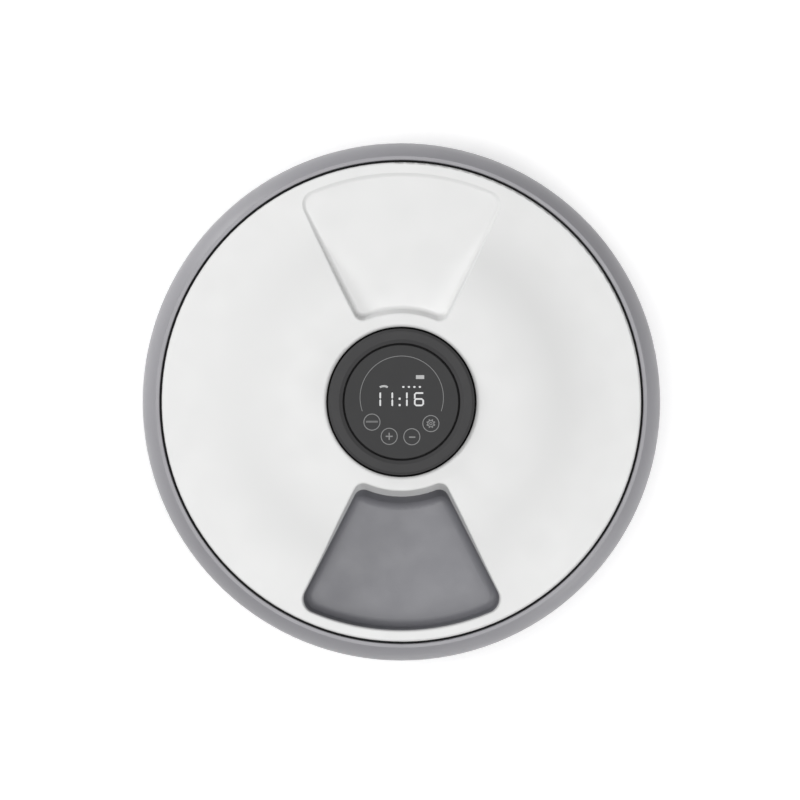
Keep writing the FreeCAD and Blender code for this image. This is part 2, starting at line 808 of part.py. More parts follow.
def bottom_cover():
    """The floor plate with the battery bay, foot seats, screw cups and the inlet board's posts."""
    cover = Body("bottom_cover")
    cover.pad([("0", "0", "cover_radius")], "underside_height", "cover_top", "Plate")
    cover.pad([("0", "0", "119.6"), ("0", "0", "118")], "cover_top", "cover_top + 4", "RingRib")
    outside = rounded(
        "-bay_half_width - bay_wall", "bay_front - bay_wall",
        "bay_half_width + bay_wall", "bay_back + bay_wall", "3",
    )
    cover.pad([outside], "cover_top", "bay_roof + bay_wall", "BayShell")
    inside = rounded("-bay_half_width", "bay_front", "bay_half_width", "bay_back", "1.4")
    cover.pocket([inside], "cover_top", "bay_roof", "BayInside")
    door_gap = oblong("-bay_half_width", "door_front - 0.8", "bay_half_width", "bay_back")
    cover.pocket([door_gap], "underside_height", "cover_top", "DoorOpening")
    partition = oblong(
        "-bay_half_width", "partition_front", "bay_half_width", "partition_front + partition_thickness"
    )
    cover.pad([partition], "door_top + 0.8", "bay_roof", "Partition")
    pin_hole = ("door_axis_y", "door_axis_height", "door_pin_radius + 0.08")
    cover.pocket_along("YZ_Plane", [pin_hole], "bay_half_width", "2", "RightPinHole")
    cover.pocket_along("YZ_Plane", [pin_hole], "-bay_half_width - 2", "2", "LeftPinHole")
    latch = oblong("-6.4", "7.4", "6.4", "9.4")
    cover.pocket_along("XZ_Plane", [latch], "bay_back", "0.8", "LatchNotch")
    cup = cover.pad([("cover_screw_circle", "0", "5.2")], "cover_top", "cover_boss_top", "ScrewCup")
    seat = cover.pocket([("cover_screw_circle", "0", "3.2")], "underside_height", "4.6", "HeadSeat")
    hole = cover.pocket([("cover_screw_circle", "0", "1.6")], "4.6", "cover_boss_top", "ShankHole")
    cover.around([cup, seat, hole], "6", "ScrewCups")
    foot_x, foot_y = "foot_circle * cos(30)", "foot_circle * sin(30)"
    recess = cover.pocket([(foot_x, foot_y, "foot_radius + 0.2")], "underside_height", "foot_top", "Seat")
    cover.around([recess], "6", "FootSeats")
    posts = [(x, y, "2.6") for x, y in INLET_POSTS]
    cover.pad(posts, "cover_top", "board_post_height", "InletPosts")
    cover.pocket([(x, y, "0.9") for x, y in INLET_POSTS], "cover_top", "board_post_height", "InletPilots")
    return cover


INLET_POSTS = [("8", "129"), ("-8", "129"), ("8", "141"), ("-8", "141")]


def feet():
    """Six rubber pads let into the floor plate."""
    for number in range(6):
        foot = Body(f"foot_{number + 1}")
        foot.turn(
            [
                ("0", "0"),
                ("foot_radius - 1", "0", "1"),
                ("foot_radius", "1"),
                ("foot_radius", "foot_top"),
                ("0", "foot_top"),
            ],
            "Pad",
        )
        foot.body.Placement = FreeCAD.Placement(polar("foot_circle", 30 + 60 * number), FreeCAD.Rotation())


def battery_door():
    """The plate that closes the bay, with two hinge pins at the front and a snap tongue at the back."""
    door = Body("battery_door")
    plate = rounded("-door_half_width", "door_front", "door_half_width", "door_back", "0.6")
    door.pad([plate], "underside_height", "door_top", "Plate")
    door.pad([oblong("-6", "door_back - 1.6", "6", "door_back - 0.3")], "door_top", "9", "Tongue")
    barb = door.feature(
        "Pad",
        door.sketch(
            "YZ_Plane",
            [[("door_back - 0.3", "7.7"), ("door_back + 0.9", "7.9"), ("door_back - 0.3", "9")]],
            "-5.6",
        ),
        "Barb",
    )
    bind(barb, "Length", "11.2")
    grip = rounded("-9", "door_back - 8", "9", "door_back - 4", "1.6")
    door.pocket([grip], "underside_height", "underside_height + 0.9", "ThumbGroove")
    for name, start in (("RightPin", "door_half_width - 0.2"), ("LeftPin", "-door_half_width - 1.5")):
        sketch = door.sketch(
            "YZ_Plane", [("door_axis_y", "door_axis_height", "door_pin_radius")], start
        )
        pin = door.feature("Pad", sketch, name)
        bind(pin, "Length", "1.7")
    return door


def battery_cells():
    """Four AA cells side by side, each turned end for end from its neighbour."""
    for number in range(4):
        nub_back = number % 2 == 0
        cell = Body(f"battery_cell_{number + 1}")
        cell.turn(
            [
                ("0", "0"),
                ("cell_radius - 1.2", "0"),
                ("cell_radius - 0.7", "0.3"),
                ("cell_radius", "0.9"),
                ("cell_radius", "cell_length - 2.2"),
                ("cell_radius - 0.8", "cell_length - 1.4"),
                ("2.7", "cell_length - 1.2"),
                ("2.5", "cell_length"),
                ("0", "cell_length"),
            ],
            "Cell",
        )
        x = (number - 1.5) * amount("cell_pitch")
        start = amount("bay_front + 0.6 + spring_length")
        end = amount("partition_front - 0.6 - spring_length")
        turn = FreeCAD.Rotation(FreeCAD.Vector(1, 0, 0), -90 if nub_back else 90)
        foot = FreeCAD.Vector(x, start if nub_back else end, amount("cell_axis_height"))
        cell.body.Placement = FreeCAD.Placement(foot, turn)


def coil(length):
    """A conical contact spring along Z: round turns, each joined to the next by a short riser."""
    turns, widest, narrowest, wire = 5, 5.4, 3.2, 0.36
    step = FreeCAD.Vector((narrowest - widest) / (turns - 1), 0, length / (turns - 1))
    start = FreeCAD.Vector(widest, 0, 0)
    spring = Part.makeTorus(widest, wire)
    for number in range(turns - 1):
        riser = Part.makeCylinder(0.9 * wire, step.Length, start, step)
        riser.rotate(FreeCAD.Vector(), FreeCAD.Vector(0, 0, 1), 180 * number)
        start = start + step
        spring = spring.fuse(riser).fuse(Part.makeTorus(start.x, wire, FreeCAD.Vector(0, 0, start.z)))
    return spring


def cell_contacts():
    """Coil springs at the flat ends of the cells and thin plates behind both ends."""
    coils, plates = [], []
    height = amount("cell_axis_height")
    for number in range(4):
        x = (number - 1.5) * amount("cell_pitch")
        spring_front = number % 2 == 0
        spring = coil(amount("spring_length") - 0.7)
        turn = FreeCAD.Rotation(FreeCAD.Vector(1, 0, 0), -90 if spring_front else 90)
        seat = amount("bay_front + 0.85" if spring_front else "partition_front - 0.85")
        spring.Placement = FreeCAD.Placement(FreeCAD.Vector(x, seat, height), turn)
        coils.append(spring)
        for face in ("bay_front + 0.02", "partition_front - 0.42"):
            corner = FreeCAD.Vector(x - 6, amount(face), height - 6)
            plates.append(Part.makeBox(12, 0.4, 12, corner))
    for label, solids in (("battery_springs", coils), ("battery_contacts", plates)):
        made = doc.addObject("Part::Feature", label)
        made.Label = label
        made.Shape = Part.makeCompound(solids)
        sub_parts.append(made)


# ------------------------------------------------------------------ power inlet


def power_inlet():
    """The rear charging socket and the small board that carries it."""
    socket = Body("power_inlet")
    shell = rounded(
        "-inlet_half_width", "inlet_height - inlet_half_height",
        "inlet_half_width", "inlet_height + inlet_half_height", "1.5",
    )
    outside = socket.feature(
        "Pad", socket.sketch("XZ_Plane", [shell], "-inlet_face"), "Shell"
    )
    bind(outside, "Length", "inlet_depth")
    cavity = rounded(
        "-inlet_half_width + 0.35", "inlet_height - inlet_half_height + 0.35",
        "inlet_half_width - 0.35", "inlet_height + inlet_half_height - 0.35", "1.15",
    )
    socket.pocket_along("XZ_Plane", [cavity], "inlet_face - 6.4", "6.4", "Mouth")
    tongue = socket.feature(
        "Pad",
        socket.sketch(
            "XZ_Plane", [oblong("-3.3", "inlet_height - 0.35", "3.3", "inlet_height + 0.35")],
            "-(inlet_face - 1)",
        ),
        "Tongue",
    )
    bind(tongue, "Length", "5.6")
    board = Body("power_board")
    plate = rounded("-11", "125.5", "11", "148.8", "1")
    top = "inlet_height - inlet_half_height"
    board.pad([plate], "board_post_height", top, "Board")
    board.pocket([(x, y, "1.2") for x, y in INLET_POSTS], "board_post_height", top, "ScrewHoles")
    choke = oblong("-8", "133", "-2", "139")
    chip = oblong("2", "132.5", "7", "137.5")
    board.pad([choke], top, f"{top} + 3.2", "Choke")
    board.pad([chip], top, f"{top} + 1.1", "Regulator")


# ------------------------------------------------------------------ lid, seal and lock ring


def lid_seal():
    """The soft ring between the ledge of the base and the skirt of the lid."""
    seal = Body("lid_seal")
    seal.turn(
        [
            ("well_radius + 0.2", "ledge_height"),
            ("rim_inner_radius - 0.1", "ledge_height"),
            ("rim_inner_radius - 0.1", "seal_top - 0.5"),
            ("rim_inner_radius - 0.6", "seal_top"),
            ("well_radius + 0.7", "seal_top"),
            ("well_radius + 0.2", "seal_top - 0.5"),
        ],
        "Ring",
    )
    peg = seal.pocket([("0", "peg_circle", "1.4")], "ledge_height", "seal_top", "PegHole")
    seal.around([peg], "3", "PegHoles")
    return seal


def lid_surface(offset, floor, edge_round):
    """The solid under the lid's double-curved top, moved inwards by offset, down to a floor height."""
    rise = amount("lid_slope_height - lid_flat_height")
    bend = (amount("lid_flat_radius - lid_slope_radius") ** 2 + rise**2) / (2 * rise)
    flat, slope, plateau = (
        amount(name) for name in ("lid_flat_radius", "lid_slope_radius", "lid_plateau_radius")
    )
    low, high = amount("lid_flat_height") - offset, amount("lid_plateau_height") - offset
    share = offset / bend
    middle = slope - (flat - slope) * share, amount("lid_slope_height") - (bend - rise) * share
    outside = amount("lid_radius") - offset
    return spun(
        [
            (0, floor),
            (outside, floor),
            (outside, low - edge_round, edge_round),
            (outside - edge_round, low),
            (flat, low, -(bend + offset)),
            (*middle, bend - offset),
            (plateau, high),
            (0, high),
        ]
    )


def edges_where(shape, block, height_of, offset=0.0):
    """The edges in which the wall of a cutting block meets the lid's top."""
    shell = block.Shells[0]
    found = []
    for edge in shape.Edges:
        middle = edge.valueAt((edge.FirstParameter + edge.LastParameter) / 2)
        if abs(middle.z - height_of(math.hypot(middle.x, middle.y)) - offset) > 0.02:
            continue
        if shell.distToShape(Part.Vertex(middle))[0] < 0.02:
            found.append(edge)
    return found


def lid_top_height(radius):
    """The height of the lid's top surface at a radius."""
    rise = amount("lid_slope_height - lid_flat_height")
    run = amount("lid_flat_radius - lid_slope_radius")
    bend = (run**2 + rise**2) / (2 * rise)
    if radius >= amount("lid_flat_radius"):
        return amount("lid_flat_height")
    if radius >= amount("lid_slope_radius"):
        across = amount("lid_flat_radius") - radius
        return amount("lid_flat_height") + bend - math.sqrt(bend**2 - across**2)
    if radius >= amount("lid_plateau_radius"):
        across = radius - amount("lid_plateau_radius")
        return amount("lid_plateau_height") - bend + math.sqrt(bend**2 - across**2)
    return amount("lid_plateau_height")


def lid():
    """The double-curved cover: the serving opening in front, the closed recess behind, three pegs."""
    skirt_bottom = amount("lid_skirt_bottom")
    wall = amount("lid_wall")
    frame = amount("opening_frame")
    frame_bottom = amount("opening_frame_bottom")
    above = amount("lid_plateau_height") + 3
    level = amount("lid_plateau_height")
    window = sector_block(frame_bottom - 1, above, level, "opening")
    window_frame = sector_block(frame_bottom, above, level, "opening", frame)
    recess = sector_block(amount("recess_floor"), above, level, "opening")
    recess = recess.makeFillet(amount("recess_floor_round"), edges_at_height(recess, amount("recess_floor")))
    half_turn = (FreeCAD.Vector(), FreeCAD.Vector(0, 0, 1), 180)
    recess.rotate(*half_turn)
    recess_frame = window_frame.copy()
    recess_frame.rotate(*half_turn)

    outside = lid_surface(0, skirt_bottom, amount("lid_edge_round"))
    inside = lid_surface(wall, skirt_bottom - 5, 0.6)
    inside = inside.cut(window_frame).cut(recess_frame)
    shell = outside.cut(inside)
    hole = Part.makeCylinder(amount("lid_hole_radius"), 40, FreeCAD.Vector(0, 0, 50))
    shell = shell.cut(hole)
    brink = []
    for edge in edges_at_height(shell, amount("lid_plateau_height")):
        if edge.BoundBox.XLength < 2 * amount("lid_hole_radius") + 1:
            brink.append(edge)
    shell = shell.makeFillet(amount("lid_hole_round"), brink)
    shell = shell.fuse(
        pipe("lid_flange_radius", "lid_flange_outer", "lid_flange_bottom", "lid_flange_top")
    )
    shell = shell.cut(window).cut(recess)

    rounding = amount("opening_edge_round")
    edges = edges_where(shell, window, lid_top_height) + edges_where(shell, recess, lid_top_height)
    shell = shell.makeFillet(rounding, edges)
    for number in range(3):
        foot = polar("peg_circle", 90 + 120 * number, skirt_bottom - 3)
        shell = shell.fuse(Part.makeCylinder(1.0, 4, foot))
    sub_part("lid", shell)


def lock_ring():
    """The grip ring around the panel; it turns on the lid's flange."""
    ring = Body("lock_ring")
    ring.turn(
        [
            ("ring_inner_radius", "ring_top - 4.6"),
            ("ring_inner_radius", "ring_top - 1"),
            ("ring_inner_radius + 2.2", "ring_top"),
            ("ring_outer_radius - 1.6", "ring_top"),
            ("ring_outer_radius", "ring_top - 1"),
            ("ring_outer_radius", "ring_skirt_top"),
            ("ring_skirt_radius", "ring_skirt_top - 0.3"),
            ("ring_skirt_radius", "ring_bottom"),
            ("ring_sleeve_radius", "ring_bottom"),
            ("ring_sleeve_radius", "ring_sleeve_bottom"),
            ("ring_sleeve_inner", "ring_sleeve_bottom"),
            ("ring_sleeve_inner", "ring_top - 4.6"),
        ],
        "Ring",
    )
    middle = "(ring_sleeve_inner + ring_sleeve_radius) / 2"
    pilot = ("0", f"-({middle})", "0.9")
    hole = ring.pocket([pilot], "ring_sleeve_bottom", "ring_sleeve_bottom + 4", "ScrewPilot")
    ring.around([hole], "3", "ScrewPilots")
    ring.round_circles(
        [
            ("ring_inner_radius + 2.2", "ring_top"),
            ("ring_outer_radius - 1.6", "ring_top"),
            ("ring_outer_radius", "ring_top - 1"),
        ],
        "0.35",
    )
    return ring


def ring_retainer():
    """The plate under the lid's flange that holds the ring on, with its three hooks."""
    retainer = Body("ring_retainer")
    circles = [("0", "0", "retainer_radius"), ("0", "0", "ring_sleeve_inner")]
    retainer.pad(circles, "retainer_bottom", "ring_sleeve_bottom", "Plate")
    stem = retainer.pad(
        [arc_band("hook_inner_radius", "hook_outer_radius", 90, 6)],
        "hook_bottom", "retainer_bottom", "HookStem",
    )
    toe = retainer.pad(
        [arc_band("hook_toe_radius", "hook_inner_radius + 0.2", 90, 6)],
        "hook_bottom", "hook_toe_top", "HookToe",
    )
    middle = "(ring_sleeve_inner + ring_sleeve_radius) / 2"
    hole = retainer.pocket(
        [("0", f"-({middle})", "1.15")], "retainer_bottom", "ring_sleeve_bottom", "ScrewHole"
    )
    retainer.around([stem, toe, hole], "3", "Hooks")
    return retainer


def arc_band(inner, outer, degrees, half_angle):
    """The outline of a sector of a ring about Z, centred on an angle."""
    low, high = degrees - half_angle, degrees + half_angle
    return [
        (f"({inner}) * cos({low})", f"({inner}) * sin({low})"),
        (f"({outer}) * cos({low})", f"({outer}) * sin({low})", f"({outer})"),
        (f"({outer}) * cos({high})", f"({outer}) * sin({high})"),
        (f"({inner}) * cos({high})", f"({inner}) * sin({high})", f"-({inner})"),
    ]


# ------------------------------------------------------------------ hub, boards and panel


def hub_housing():
    """The fixed hub on top of the column: floor, skirt, locking shoulder and the panel's tube."""
    hub = Body("hub_housing")
    hub.turn(
        [
            ("hub_cable_hole", "column_top"),
            ("column_radius + 0.05", "column_top"),
            ("column_radius + 0.05", "column_top - 4"),
            ("column_radius + 2", "column_top - 4"),
            ("column_radius + 2", "column_top"),
            ("hub_radius", "column_top"),
            ("hub_radius", "shoulder_top"),
            ("panel_tube_radius", "shoulder_top"),
            ("panel_tube_radius", "panel_bottom"),
            ("panel_tube_radius - panel_tube_wall", "panel_bottom"),
            ("panel_tube_radius - panel_tube_wall", "shoulder_bottom"),
            ("hub_radius - hub_wall", "shoulder_bottom"),
            ("hub_radius - hub_wall", "column_top + hub_floor"),
            ("hub_cable_hole", "column_top + hub_floor"),
        ],
        "Shell",
    )
    floor_top = "column_top + hub_floor"
    hole = hub.pocket([("0", f"{HUB_SCREW_CIRCLE}", "1.6")], "column_top", floor_top, "HubScrewHole")
    hub.around([hole], "3", "HubScrewHoles")
    post_y = f"-{BOARD_POST_CIRCLE}"
    post = hub.pad([("0", post_y, "2.8")], floor_top, "board_height", "BoardPost")
    pilot = hub.pocket([("0", post_y, "0.9")], "board_height - 8", "board_height", "BoardPilot")
    hub.around([post, pilot], "3", "BoardPosts")
    wide = arc_band("hook_toe_radius - 0.4", "hook_outer_radius + 0.4", 90, 9)
    entry = hub.pocket([wide], "shoulder_bottom", "shoulder_top", "HookEntry")
    narrow = arc_band("hook_inner_radius - 0.4", "hook_outer_radius + 0.4", 66, 16)
    track = hub.pocket([narrow], "shoulder_bottom", "shoulder_top", "HookTrack")
    hub.around([entry, track], "3", "HookSlots")
    hub.round_circles([("hub_radius", "shoulder_top"), ("hub_radius", "column_top")], "0.5")
    return hub


def display_panel():
    """The dark touch panel that closes the hub."""
    panel = Body("display_panel")
    panel.turn(
        [
            ("0", "panel_bottom"),
            ("panel_radius", "panel_bottom"),
            ("panel_radius", "panel_top - 0.4", "0.4"),
            ("panel_radius - 0.4", "panel_top"),
            ("0", "panel_top"),
        ],
        "Disc",
    )
    return panel


TOUCH_KEYS = [(-17.8, -12.6), (-7.2, -21.5), (6.7, -21.6), (18.4, -13.6)]


def boards():
    """The main board with its display, springs for the touch keys, components and loudspeaker."""
    board = Body("main_board")
    top = "board_height + board_thickness"
    board.pad([("0", "0", "board_radius")], "board_height", top, "Board")
    hole = board.pocket([("0", f"-{BOARD_POST_CIRCLE}", "1.2")], "board_height", top, "ScrewHole")
    board.around([hole], "3", "ScrewHoles")

    display = Body("led_display")
    display.pad([rounded("-18", "-6.5", "18", "17.5", "0.8")], top, "panel_bottom - 0.3", "Module")

    springs = []
    for x, y in TOUCH_KEYS:
        outer = rod("Spring", x, y, top, "2.6", f"panel_bottom - ({top})")
        inner = rod("SpringBore", x, y, f"{top} + 0.4", "2.1", f"panel_bottom - ({top})")
        springs.append(less("TouchSpring", outer, inner))
    finished(combined("Compound", "TouchSprings", springs), "touch_springs")

    under = "board_height - 1.6"
    chip = box("Controller", "-6", "2", under, "12", "12", "1.6")
    plug = box("MotorPlug", "-14", "-12", "board_height - 5", "12", "6", "5")
    clock = rod("ClockCell", "12", "-10", "board_height - 3.6", "6.2", "3.6")
    relay = box("Driver", "-18", "4", "board_height - 2", "6", "8", "2")
    finished(combined("Compound", "Components", [chip, plug, clock, relay]), "board_components")

    basket = rod("Basket", "-26", "0", "column_top + hub_floor", "7.5", "2.6")
    cone = rod("Cone", "-26", "0", "column_top + hub_floor", "6", "4.2")
    finished(combined("MultiFuse", "Speaker", [basket, cone]), "speaker")


# ------------------------------------------------------------------ tray and turntable


def food_tray():
    """The lift-out tray: a plate with the mouths of six wells, the cups welded under it, roller track."""
    top = amount("tray_top")
    floor = amount("tray_floor")
    wall = amount("tray_wall")
    count = int(amount("meals"))
    rounding = amount("meal_floor_round")
    underside = amount("tray_top - tray_plate")

    well = sector_block(floor, top + 2, top, "meal")
    well = well.makeFillet(rounding, edges_at_height(well, floor))
    cup = sector_block(floor - wall, underside, top, "meal", wall)
    cup = cup.makeFillet(rounding + wall, edges_at_height(cup, floor - wall))

    tray = pipe("tray_hole_radius", "tray_radius", "tray_top - tray_plate", "tray_top")
    tray = tray.fuse(pipe("tray_hole_radius", "tray_hole_radius + tray_wall", "tray_bottom", "tray_top"))
    for one in all_round(well, count):
        tray = tray.cut(one)
    for one in all_round(pipe("40", "50", "tray_bottom", "tray_bottom + 5", 90 - 8.5, 17), 3):
        tray = tray.cut(one)
    rims = [e for e in edges_at_height(tray, top) if is_well_edge(e)]
    tray = tray.makeFillet(0.8, rims)
    sub_part("food_tray", tray)
    sub_part("meal_cups", Part.makeCompound(all_round(cup.cut(well), count)))
    sub_part("roller_track", pipe("track_inner", "track_outer", "track_bottom", "tray_floor - tray_wall"))


def is_well_edge(edge):
    """Whether an edge on top of the tray belongs to a well and not to the tray's own rim or hole."""
    middle = edge.valueAt((edge.FirstParameter + edge.LastParameter) / 2)
    radius = math.hypot(middle.x, middle.y)
    return amount("tray_hole_radius") + 3 < radius < amount("meal_outer_radius") + 0.2


def turntable():
    """The driven ring under the tray: bearing sleeve, web, internal gear, keys and magnet seats."""
    top = amount("tray_bottom")
    table = spun(
        [
            ("sleeve_bore", "turntable_web"),
            ("turntable_web", "turntable_web"),
            ("50", "turntable_web"),
            ("50", "turntable_bottom"),
            ("turntable_rim", "turntable_bottom"),
            ("turntable_rim", "tray_bottom"),
            ("sleeve_radius", "tray_bottom"),
            ("sleeve_radius", "sleeve_top"),
            ("sleeve_bore", "sleeve_top"),
        ]
    )
    teeth = int(amount("ring_teeth"))
    outline = gear_outline(teeth, amount("drive_module"), DEDENDUM, ADDENDUM, 0.1, -90)
    table = table.cut(gear_solid(outline, amount("turntable_bottom") - 1, amount("turntable_web")))
    keys = all_round(pipe("45.2", "48.4", "tray_bottom", "tray_bottom + 4.6", 90 - 8, 16), 3)
    table = table.multiFuse(keys)
    seats = []
    for number in range(int(amount("meals"))):
        seat = polar("42", 90 + 60 * number, "turntable_web - 1")
        seats.append(Part.makeCylinder(2.5, 2.6, seat))
    for seat in seats:
        table = table.cut(seat)
    sub_part("turntable", table)

    magnets = []
    for number in range(int(amount("meals"))):
        magnets.append(Part.makeCylinder(2.48, 1.5, polar("42", 90 + 60 * number, "turntable_web + 0.05")))
    made = doc.addObject("Part::Feature", "index_magnets")
    made.Label = "index_magnets"
    made.Shape = Part.makeCompound(magnets)
    sub_parts.append(made)

    board = box("SensorBoard", "-6", "37", "deck_top", "12", "10", "1.6")
    sensor = box("Sensor", "-2", "40.4", "deck_top + 1.6", "4", "3.2", "5.6")
    finished(combined("MultiFuse", "PositionSensor", [board, sensor]), "position_sensor")


def rollers():
    """Four rollers under the tray's track, each on a plain pin lying in the deck."""
    pins = []
    for number, degrees in enumerate(ROLLER_ANGLES, 1):
        lay = FreeCAD.Rotation(FreeCAD.Vector(0, 0, 1), degrees) * FreeCAD.Rotation(
            FreeCAD.Vector(0, 1, 0), 90
        )
        wheel = rod("Wheel", "0", "0", "-roller_width / 2", "roller_radius", "roller_width")
        bore = rod("WheelBore", "0", "0", "-roller_width", "roller_pin_radius + 0.05", "2 * roller_width")
        roller = less("Roller", wheel, bore)
        roller.Placement = FreeCAD.Placement(polar("roller_circle", degrees, "roller_height"), lay)
        finished(roller, f"roller_{number}")
        pin = doc.addObject("Part::Cylinder", "Pin")
        bind(pin, "Radius", "roller_pin_radius")
        bind(pin, "Height", "roller_pin_length")
        start = polar("roller_circle - roller_pin_length / 2", degrees, "roller_height")
        pin.Placement = FreeCAD.Placement(start, lay)
        pins.append(pin)
    group = doc.addObject("Part::Compound", "RollerPins")
    group.Links = pins
    finished(group, "roller_pins")


# ------------------------------------------------------------------ gear train


def gear_train():
    """Motor pinion, idler, output gear and drive pinion, each meshing where the wheels meet."""
    to_output = heading(idler_axis, output_axis)
    to_motor = heading(idler_axis, motor_axis)
    half_small = 180 / amount("idler_small_teeth")
    half_motor = 180 / amount("motor_teeth")
    backlash = 0.1
    small_module, large_module = amount("output_module"), amount("motor_module")

    drive = spur_gear(
        int(amount("drive_teeth")), amount("drive_module"), 28.3, 35.2,
        amount("shaft_radius"), -90, backlash,
    )
    drive.translate(output_axis)
    sub_part("drive_pinion", drive)

    output = spur_gear(
        int(amount("output_teeth")), small_module, 13.8, 17.8,
        amount("shaft_radius"), to_output + 180, backlash,
    )
    hub = Part.makeCylinder(6, 9.2, FreeCAD.Vector(0, 0, 9.6))
    hub = hub.cut(Part.makeCylinder(amount("shaft_radius"), 12, FreeCAD.Vector(0, 0, 9)))
    output = output.fuse(hub)
    output.translate(output_axis)
    sub_part("output_gear", output)

    bore = amount("idler_pin_radius") + 0.05
    large = spur_gear(
        int(amount("idler_large_teeth")), large_module, 9.0, 12.6, bore, to_motor, backlash
    )
    small = spur_gear(
        int(amount("idler_small_teeth")), small_module, 12.5, 18.6, bore, to_output + half_small, backlash
    )
    idler = large.fuse(small)
    idler.translate(idler_axis)
    sub_part("idler_gear", idler)

    pinion = spur_gear(
        int(amount("motor_teeth")), large_module, 9.0, 13.2, 1.0, to_motor + 180 + half_motor, backlash
    )
    pinion.translate(motor_axis)
    sub_part("motor_pinion", pinion)


def shafts():
    """The output shaft with its two bushes, the idler's pin and the motor's shaft."""
    finished(
        rod("OutputShaft", "0", str(output_axis.y), "plate_low + 0.2", "shaft_radius", "35.8 - plate_low"),
        "output_shaft",
    )
    finished(
        rod("IdlerPin", str(idler_axis.x), str(idler_axis.y), "plate_low", "idler_pin_radius",
            "plate_high_top - plate_low"),
        "idler_pin",
    )
    finished(rod("MotorShaft", "0", "-motor_offset", "9", "1", "16"), "motor_shaft")
    for label, bottom, top, flange_top in (
        ("lower_bush", "plate_low", "plate_low_top", "plate_low_top + 0.8"),
        ("upper_bush", DECK_UNDERSIDE, "deck_top", "deck_top + 0.9"),
    ):
        bush = Body(label)
        bush.pad([("0", "0", "4"), ("0", "0", "shaft_radius + 0.05")], bottom, top, "Sleeve")
        bush.pad([("0", "0", "5.2"), ("0", "0", "shaft_radius + 0.05")], top, flange_top, "Flange")
        bush.body.Placement = FreeCAD.Placement(output_axis, FreeCAD.Rotation())


def gearbox_plates():
    """Two plates that carry the idler and the output shaft; the upper one holds the motor."""
    plate = rounded("-38", "-68", "38", "16", "6")
    lower = Body("gearbox_lower_plate")
    lower.pad([plate], "plate_low", "plate_low_top", "Plate")
    lower.pocket([(x, y, "1.5") for x, y in GEARBOX_POSTS], "plate_low", "plate_low_top", "PostHoles")
    centre = [("0", str(output_axis.y), "4"), (str(idler_axis.x), str(idler_axis.y), "idler_pin_radius")]
    lower.pocket(centre, "plate_low", "plate_low_top", "ShaftHoles")

    upper = Body("gearbox_upper_plate")
    upper.pad([plate], "plate_high", "plate_high_top", "Plate")
    upper.pad([(x, y, "3.6") for x, y in GEARBOX_POSTS], "plate_low_top", "plate_high", "Posts")
    upper.pocket([(x, y, "1.5") for x, y in GEARBOX_POSTS], "plate_low_top", "plate_high_top", "PostHoles")
    holes = [
        ("0", str(output_axis.y), "3.2"),
        (str(idler_axis.x), str(idler_axis.y), "idler_pin_radius"),
        ("0", "-motor_offset", "3.2"),
        ("9", "-motor_offset", "1.2"),
        ("-9", "-motor_offset", "1.2"),
    ]
    upper.pocket(holes, "plate_high", "plate_high_top", "ShaftHoles")


def gear_motor():
    """The motor with its own reduction gear, standing in the column."""
    motor = Body("gear_motor")
    motor.turn(
        [
            ("1.05", "plate_high_top"),
            ("motor_radius", "plate_high_top"),
            ("motor_radius", "32"),
            ("motor_radius - 0.6", "32.4"),
            ("motor_radius - 0.6", "49.4"),
            ("motor_radius - 1.6", "50.4"),
            ("4.2", "50.4"),
            ("4.2", "51.8"),
            ("0", "51.8"),
            ("0", "26"),
            ("1.05", "26"),
        ],
        "Can",
    )
    pilots = [("9", "0", "0.9"), ("-9", "0", "0.9")]
    motor.pocket(pilots, "plate_high_top", "plate_high_top + 4", "FacePilots")
    tabs = [oblong("6.6", "-1", "7.1", "1"), oblong("-7.1", "-1", "-6.6", "1")]
    motor.pad(tabs, "50", "53.4", "Tabs")
    motor.body.Placement = FreeCAD.Placement(motor_axis, FreeCAD.Rotation())


# ------------------------------------------------------------------ screws


def fasteners():
    """Each group of identical screws is one node."""
    cover = [polar("cover_screw_circle", a, 4.6) for a in COVER_SCREW_ANGLES]
    screws("cover_screws", cover, (2.8, 2.0, 1.25, 14), from_below=True)
    gearbox = [vector(x, y, "plate_low") for x, y in GEARBOX_POSTS]
    screws("gearbox_screws", gearbox, (2.6, 1.6, 1.25, 19), from_below=True)
    hub = [polar(HUB_SCREW_CIRCLE, a, "column_top + hub_floor") for a in HUB_SCREW_ANGLES]
    screws("hub_screws", hub, (2.8, 2.0, 1.25, 10), from_below=False)
    board = [polar(BOARD_POST_CIRCLE, a, "board_height + board_thickness") for a in BOARD_POST_ANGLES]
    screws("board_screws", board, (1.9, 1.3, 0.85, 7))
    inlet = [vector(x, y, "inlet_height - inlet_half_height") for x, y in INLET_POSTS]
    screws("inlet_screws", inlet, (1.8, 1.2, 0.85, 5))
    motor = [vector(x, "-motor_offset", "plate_high") for x in (9, -9)]
    screws("motor_screws", motor, (1.7, 1.2, 0.85, 5), from_below=True)
    middle = "(ring_sleeve_inner + ring_sleeve_radius) / 2"
    ring = [polar(middle, a, "retainer_bottom") for a in BOARD_POST_ANGLES]
    screws("retainer_screws", ring, (1.7, 1.2, 0.85, 5), from_below=True)


# ------------------------------------------------------------------ make, check and write


def check(obj):
    """Stops on a failed object, and on a cut that removed nothing or a pad that added nothing."""
    failed = [state for state in obj.State if state in ("Invalid", "Error")]
    if failed:
        raise RuntimeError(f"{obj.Label}: {failed}")
    if obj.TypeId != "PartDesign::Body":
        return
    before = None
    for feature in obj.Group:
        if feature.TypeId.startswith("Sketcher"):
            continue
        volume = feature.Shape.Volume
        added = feature.TypeId == "PartDesign::Pad"
        removed = feature.TypeId == "PartDesign::Pocket"
        if before is not None and (added and volume <= before or removed and volume >= before):
            raise RuntimeError(f"{obj.Label}: {feature.Name} changes nothing")
        before = volume


